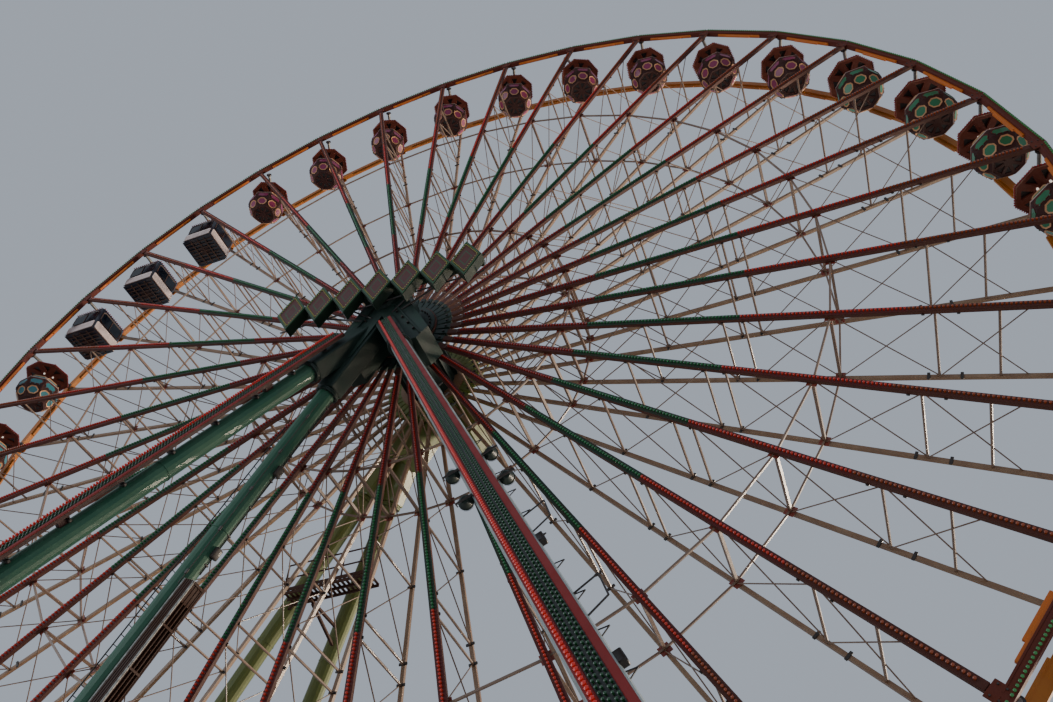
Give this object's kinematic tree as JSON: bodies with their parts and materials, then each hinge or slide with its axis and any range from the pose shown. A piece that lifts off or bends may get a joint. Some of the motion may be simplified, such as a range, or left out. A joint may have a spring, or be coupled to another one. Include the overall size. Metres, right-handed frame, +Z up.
{
  "type": "half-size model of a ferris wheel",
  "caption": "Large spoked ferris wheel on raking stands, with level hanging gondolas, boarding deck and lamp-lined spokes.",
  "frame": {"origin": "on the floor below the hub, on the underside of the base's middle sill", "axes": "+X to the right seen from the front, +Y away from the front along the wheel's axis, +Z up"},
  "size_m": [23.2886, 11.7, 24.75],
  "materials": {
    "base_grey": "painted",
    "deck_grey": "painted",
    "leg_green": "painted",
    "leg_grey": "painted",
    "leg_olive": "painted",
    "hub_green": "painted",
    "axle_steel": "brushed",
    "panel_red": "painted",
    "gallery_brown": "painted",
    "sign_green": "painted",
    "rim_red": "painted",
    "rim_gold": "painted",
    "spoke_red": "painted",
    "spoke_beige": "painted",
    "cabin_blue": "painted",
    "gondola_red": "painted"
  },
  "bodies": {
    "stand": {"base_frame": "base_grey", "boarding_deck": "deck_grey", "boarding_steps": "deck_grey", "front_bearing_frame": "leg_green", "front_left_leg": "leg_green", "front_right_leg": "leg_grey", "rear_bearing_frame": "leg_olive", "rear_left_leg": "leg_olive", "rear_right_leg": "leg_olive", "main_axle": "axle_steel", "left_lamp_panel": "panel_red", "right_lamp_panel": "panel_red", "ladder_way": "gallery_brown", "service_platform": "gallery_brown", "sign_ornament": "sign_green"},
    "wheel": {"hub_drum": "hub_green", "front_rim": "rim_red", "rear_rim": "rim_gold", "front_spokes": "spoke_red", "rear_spokes": "spoke_beige", "inner_tie_ring": "spoke_beige", "outer_tie_ring": "spoke_beige"},
    "gondola_01": {"gondola_01": "gondola_red"},
    "gondola_02": {"gondola_02": "cabin_blue"},
    "gondola_03": {"gondola_03": "cabin_blue"},
    "gondola_04": {"gondola_04": "cabin_blue"},
    "gondola_05": {"gondola_05": "gondola_red"},
    "gondola_06": {"gondola_06": "gondola_red"},
    "gondola_07": {"gondola_07": "gondola_red"},
    "gondola_08": {"gondola_08": "gondola_red"},
    "gondola_09": {"gondola_09": "gondola_red"},
    "gondola_10": {"gondola_10": "gondola_red"},
    "gondola_11": {"gondola_11": "gondola_red"},
    "gondola_12": {"gondola_12": "gondola_red"},
    "gondola_13": {"gondola_13": "gondola_red"},
    "gondola_14": {"gondola_14": "gondola_red"},
    "gondola_15": {"gondola_15": "gondola_red"},
    "gondola_16": {"gondola_16": "gondola_red"},
    "gondola_17": {"gondola_17": "gondola_red"},
    "gondola_18": {"gondola_18": "gondola_red"},
    "gondola_19": {"gondola_19": "gondola_red"},
    "gondola_20": {"gondola_20": "gondola_red"},
    "gondola_21": {"gondola_21": "gondola_red"},
    "gondola_22": {"gondola_22": "gondola_red"},
    "gondola_23": {"gondola_23": "gondola_red"},
    "gondola_24": {"gondola_24": "gondola_red"},
    "gondola_25": {"gondola_25": "gondola_red"},
    "gondola_26": {"gondola_26": "gondola_red"},
    "gondola_27": {"gondola_27": "gondola_red"},
    "gondola_28": {"gondola_28": "gondola_red"},
    "gondola_29": {"gondola_29": "gondola_red"},
    "gondola_30": {"gondola_30": "gondola_red"},
    "gondola_31": {"gondola_31": "gondola_red"},
    "gondola_32": {"gondola_32": "gondola_red"},
    "gondola_33": {"gondola_33": "gondola_red"},
    "gondola_34": {"gondola_34": "gondola_red"},
    "gondola_35": {"gondola_35": "gondola_red"},
    "gondola_36": {"gondola_36": "gondola_red"}
  },
  "joints": [
    {"name": "wheel_spin", "type": "hinge", "parent": "stand", "child": "wheel", "pos_m": [0, 0, 13.5], "axis": [0, 1, 0], "continuous": true},
    {"name": "gondola_01_level", "type": "hinge", "parent": "wheel", "child": "gondola_01", "pos_m": [-10.47757, 0, 17.31352], "axis": [0, 1, 0], "continuous": true},
    {"name": "gondola_02_level", "type": "hinge", "parent": "wheel", "child": "gondola_02", "pos_m": [-9.65618, 0, 19.075], "axis": [0, 1, 0], "continuous": true},
    {"name": "gondola_03_level", "type": "hinge", "parent": "wheel", "child": "gondola_03", "pos_m": [-8.5414, 0, 20.66708], "axis": [0, 1, 0], "continuous": true},
    {"name": "gondola_04_level", "type": "hinge", "parent": "wheel", "child": "gondola_04", "pos_m": [-7.16708, 0, 22.0414], "axis": [0, 1, 0], "continuous": true},
    {"name": "gondola_05_level", "type": "hinge", "parent": "wheel", "child": "gondola_05", "pos_m": [-5.575, 0, 23.15618], "axis": [0, 1, 0], "continuous": true},
    {"name": "gondola_06_level", "type": "hinge", "parent": "wheel", "child": "gondola_06", "pos_m": [-3.81352, 0, 23.97757], "axis": [0, 1, 0], "continuous": true},
    {"name": "gondola_07_level", "type": "hinge", "parent": "wheel", "child": "gondola_07", "pos_m": [-1.93618, 0, 24.48061], "axis": [0, 1, 0], "continuous": true},
    {"name": "gondola_08_level", "type": "hinge", "parent": "wheel", "child": "gondola_08", "pos_m": [0, 0, 24.65], "axis": [0, 1, 0], "continuous": true},
    {"name": "gondola_09_level", "type": "hinge", "parent": "wheel", "child": "gondola_09", "pos_m": [1.93618, 0, 24.48061], "axis": [0, 1, 0], "continuous": true},
    {"name": "gondola_10_level", "type": "hinge", "parent": "wheel", "child": "gondola_10", "pos_m": [3.81352, 0, 23.97757], "axis": [0, 1, 0], "continuous": true},
    {"name": "gondola_11_level", "type": "hinge", "parent": "wheel", "child": "gondola_11", "pos_m": [5.575, 0, 23.15618], "axis": [0, 1, 0], "continuous": true},
    {"name": "gondola_12_level", "type": "hinge", "parent": "wheel", "child": "gondola_12", "pos_m": [7.16708, 0, 22.0414], "axis": [0, 1, 0], "continuous": true},
    {"name": "gondola_13_level", "type": "hinge", "parent": "wheel", "child": "gondola_13", "pos_m": [8.5414, 0, 20.66708], "axis": [0, 1, 0], "continuous": true},
    {"name": "gondola_14_level", "type": "hinge", "parent": "wheel", "child": "gondola_14", "pos_m": [9.65618, 0, 19.075], "axis": [0, 1, 0], "continuous": true},
    {"name": "gondola_15_level", "type": "hinge", "parent": "wheel", "child": "gondola_15", "pos_m": [10.47757, 0, 17.31352], "axis": [0, 1, 0], "continuous": true},
    {"name": "gondola_16_level", "type": "hinge", "parent": "wheel", "child": "gondola_16", "pos_m": [10.98061, 0, 15.43618], "axis": [0, 1, 0], "continuous": true},
    {"name": "gondola_17_level", "type": "hinge", "parent": "wheel", "child": "gondola_17", "pos_m": [11.15, 0, 13.5], "axis": [0, 1, 0], "continuous": true},
    {"name": "gondola_18_level", "type": "hinge", "parent": "wheel", "child": "gondola_18", "pos_m": [10.98061, 0, 11.56382], "axis": [0, 1, 0], "continuous": true},
    {"name": "gondola_19_level", "type": "hinge", "parent": "wheel", "child": "gondola_19", "pos_m": [10.47757, 0, 9.68647], "axis": [0, 1, 0], "continuous": true},
    {"name": "gondola_20_level", "type": "hinge", "parent": "wheel", "child": "gondola_20", "pos_m": [9.65618, 0, 7.925], "axis": [0, 1, 0], "continuous": true},
    {"name": "gondola_21_level", "type": "hinge", "parent": "wheel", "child": "gondola_21", "pos_m": [8.5414, 0, 6.33292], "axis": [0, 1, 0], "continuous": true},
    {"name": "gondola_22_level", "type": "hinge", "parent": "wheel", "child": "gondola_22", "pos_m": [7.16708, 0, 4.9586], "axis": [0, 1, 0], "continuous": true},
    {"name": "gondola_23_level", "type": "hinge", "parent": "wheel", "child": "gondola_23", "pos_m": [5.575, 0, 3.84382], "axis": [0, 1, 0], "continuous": true},
    {"name": "gondola_24_level", "type": "hinge", "parent": "wheel", "child": "gondola_24", "pos_m": [3.81352, 0, 3.02243], "axis": [0, 1, 0], "continuous": true},
    {"name": "gondola_25_level", "type": "hinge", "parent": "wheel", "child": "gondola_25", "pos_m": [1.93618, 0, 2.51939], "axis": [0, 1, 0], "continuous": true},
    {"name": "gondola_26_level", "type": "hinge", "parent": "wheel", "child": "gondola_26", "pos_m": [0, 0, 2.35], "axis": [0, 1, 0], "continuous": true},
    {"name": "gondola_27_level", "type": "hinge", "parent": "wheel", "child": "gondola_27", "pos_m": [-1.93618, 0, 2.51939], "axis": [0, 1, 0], "continuous": true},
    {"name": "gondola_28_level", "type": "hinge", "parent": "wheel", "child": "gondola_28", "pos_m": [-3.81352, 0, 3.02243], "axis": [0, 1, 0], "continuous": true},
    {"name": "gondola_29_level", "type": "hinge", "parent": "wheel", "child": "gondola_29", "pos_m": [-5.575, 0, 3.84382], "axis": [0, 1, 0], "continuous": true},
    {"name": "gondola_30_level", "type": "hinge", "parent": "wheel", "child": "gondola_30", "pos_m": [-7.16708, 0, 4.9586], "axis": [0, 1, 0], "continuous": true},
    {"name": "gondola_31_level", "type": "hinge", "parent": "wheel", "child": "gondola_31", "pos_m": [-8.5414, 0, 6.33292], "axis": [0, 1, 0], "continuous": true},
    {"name": "gondola_32_level", "type": "hinge", "parent": "wheel", "child": "gondola_32", "pos_m": [-9.65618, 0, 7.925], "axis": [0, 1, 0], "continuous": true},
    {"name": "gondola_33_level", "type": "hinge", "parent": "wheel", "child": "gondola_33", "pos_m": [-10.47757, 0, 9.68647], "axis": [0, 1, 0], "continuous": true},
    {"name": "gondola_34_level", "type": "hinge", "parent": "wheel", "child": "gondola_34", "pos_m": [-10.98061, 0, 11.56382], "axis": [0, 1, 0], "continuous": true},
    {"name": "gondola_35_level", "type": "hinge", "parent": "wheel", "child": "gondola_35", "pos_m": [-11.15, 0, 13.5], "axis": [0, 1, 0], "continuous": true},
    {"name": "gondola_36_level", "type": "hinge", "parent": "wheel", "child": "gondola_36", "pos_m": [-10.98061, 0, 15.43618], "axis": [0, 1, 0], "continuous": true}
  ],
  "couplings": [
    {"joint": "gondola_01_level", "follows": "wheel_spin", "ratio": -1},
    {"joint": "gondola_02_level", "follows": "wheel_spin", "ratio": -1},
    {"joint": "gondola_03_level", "follows": "wheel_spin", "ratio": -1},
    {"joint": "gondola_04_level", "follows": "wheel_spin", "ratio": -1},
    {"joint": "gondola_05_level", "follows": "wheel_spin", "ratio": -1},
    {"joint": "gondola_06_level", "follows": "wheel_spin", "ratio": -1},
    {"joint": "gondola_07_level", "follows": "wheel_spin", "ratio": -1},
    {"joint": "gondola_08_level", "follows": "wheel_spin", "ratio": -1},
    {"joint": "gondola_09_level", "follows": "wheel_spin", "ratio": -1},
    {"joint": "gondola_10_level", "follows": "wheel_spin", "ratio": -1},
    {"joint": "gondola_11_level", "follows": "wheel_spin", "ratio": -1},
    {"joint": "gondola_12_level", "follows": "wheel_spin", "ratio": -1},
    {"joint": "gondola_13_level", "follows": "wheel_spin", "ratio": -1},
    {"joint": "gondola_14_level", "follows": "wheel_spin", "ratio": -1},
    {"joint": "gondola_15_level", "follows": "wheel_spin", "ratio": -1},
    {"joint": "gondola_16_level", "follows": "wheel_spin", "ratio": -1},
    {"joint": "gondola_17_level", "follows": "wheel_spin", "ratio": -1},
    {"joint": "gondola_18_level", "follows": "wheel_spin", "ratio": -1},
    {"joint": "gondola_19_level", "follows": "wheel_spin", "ratio": -1},
    {"joint": "gondola_20_level", "follows": "wheel_spin", "ratio": -1},
    {"joint": "gondola_21_level", "follows": "wheel_spin", "ratio": -1},
    {"joint": "gondola_22_level", "follows": "wheel_spin", "ratio": -1},
    {"joint": "gondola_23_level", "follows": "wheel_spin", "ratio": -1},
    {"joint": "gondola_24_level", "follows": "wheel_spin", "ratio": -1},
    {"joint": "gondola_25_level", "follows": "wheel_spin", "ratio": -1},
    {"joint": "gondola_26_level", "follows": "wheel_spin", "ratio": -1},
    {"joint": "gondola_27_level", "follows": "wheel_spin", "ratio": -1},
    {"joint": "gondola_28_level", "follows": "wheel_spin", "ratio": -1},
    {"joint": "gondola_29_level", "follows": "wheel_spin", "ratio": -1},
    {"joint": "gondola_30_level", "follows": "wheel_spin", "ratio": -1},
    {"joint": "gondola_31_level", "follows": "wheel_spin", "ratio": -1},
    {"joint": "gondola_32_level", "follows": "wheel_spin", "ratio": -1},
    {"joint": "gondola_33_level", "follows": "wheel_spin", "ratio": -1},
    {"joint": "gondola_34_level", "follows": "wheel_spin", "ratio": -1},
    {"joint": "gondola_35_level", "follows": "wheel_spin", "ratio": -1},
    {"joint": "gondola_36_level", "follows": "wheel_spin", "ratio": -1}
  ]
}
